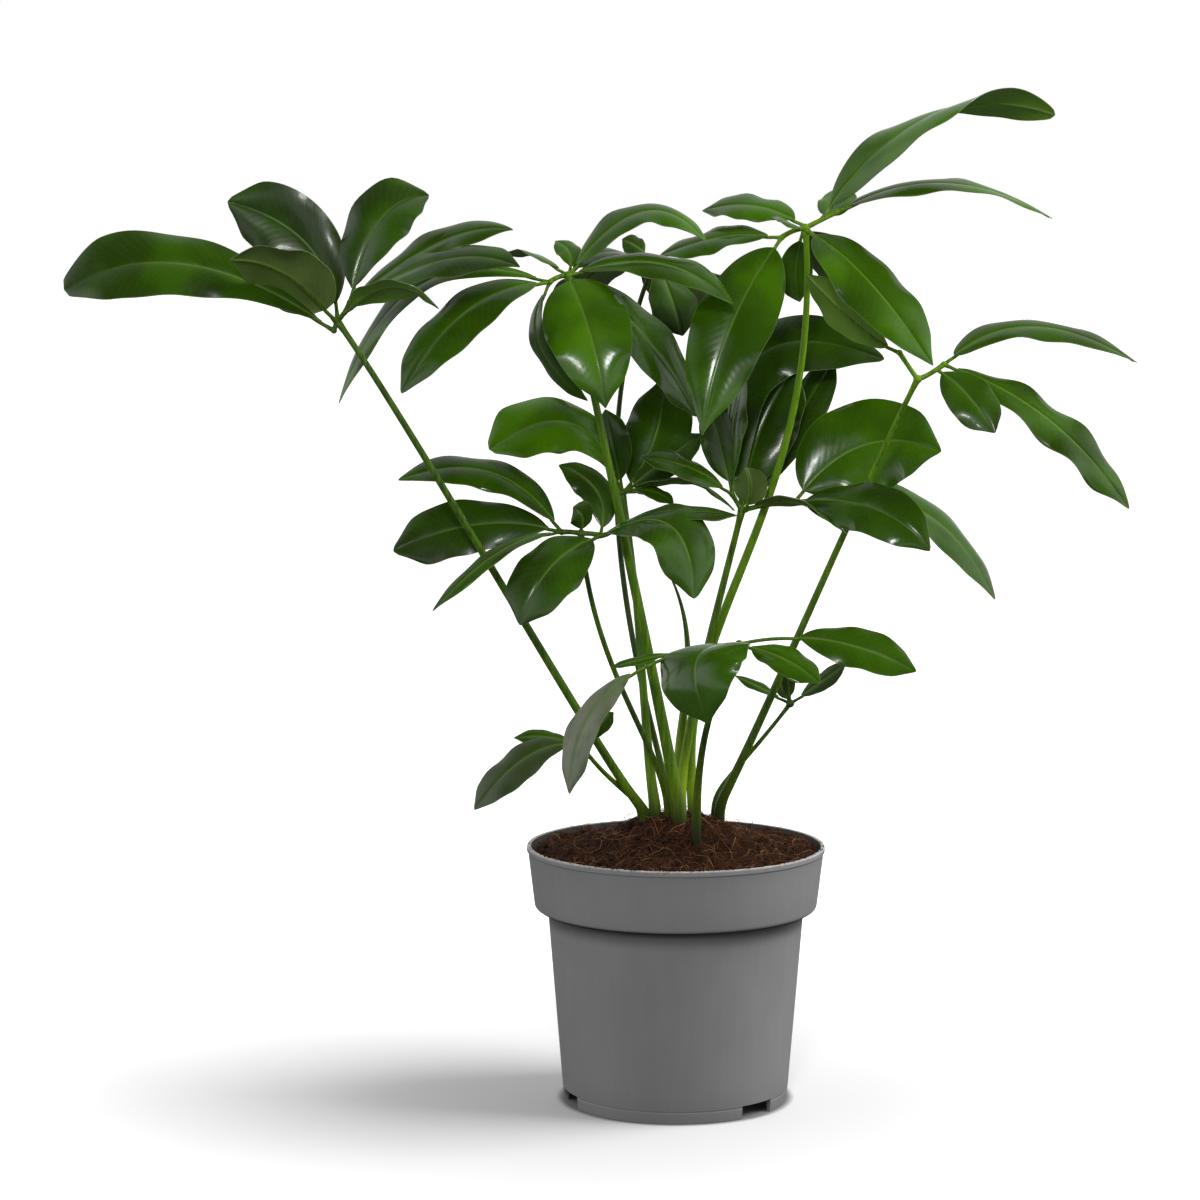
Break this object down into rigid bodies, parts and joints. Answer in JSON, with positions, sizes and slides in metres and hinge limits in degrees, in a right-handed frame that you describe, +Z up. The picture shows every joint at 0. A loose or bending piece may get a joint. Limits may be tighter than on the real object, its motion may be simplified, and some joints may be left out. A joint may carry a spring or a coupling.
{
  "type": "potted philodendron",
  "caption": "Potted philodendron with long-stalked fronds of glossy, fanned leaflets rising from brown coir soil in a plain grey plastic nursery pot.",
  "frame": {"origin": "middle of the flat pad under the pot, on the surface the pot stands on", "axes": "+Z up, +X to the right and -Y towards the viewer when the plant is seen from its front"},
  "size_m": [0.6534, 0.2722, 0.6396],
  "materials": {
    "pot": "semi-matt moulded grey plastic",
    "soil": "loose brown coir and peat",
    "leaf": "waxy glossy green above, paler and duller below"
  },
  "bodies": {
    "root": {"pot": "pot", "soil": "soil", "frond_far_left": "leaf", "frond_left": "leaf", "frond_back": "leaf", "frond_top": "leaf", "frond_right": "leaf", "frond_centre": "leaf", "frond_inner": "leaf", "frond_low_left": "leaf", "frond_front": "leaf", "frond_small_right": "leaf", "frond_small_left": "leaf", "new_leaf": "leaf"}
  },
  "joints": []
}
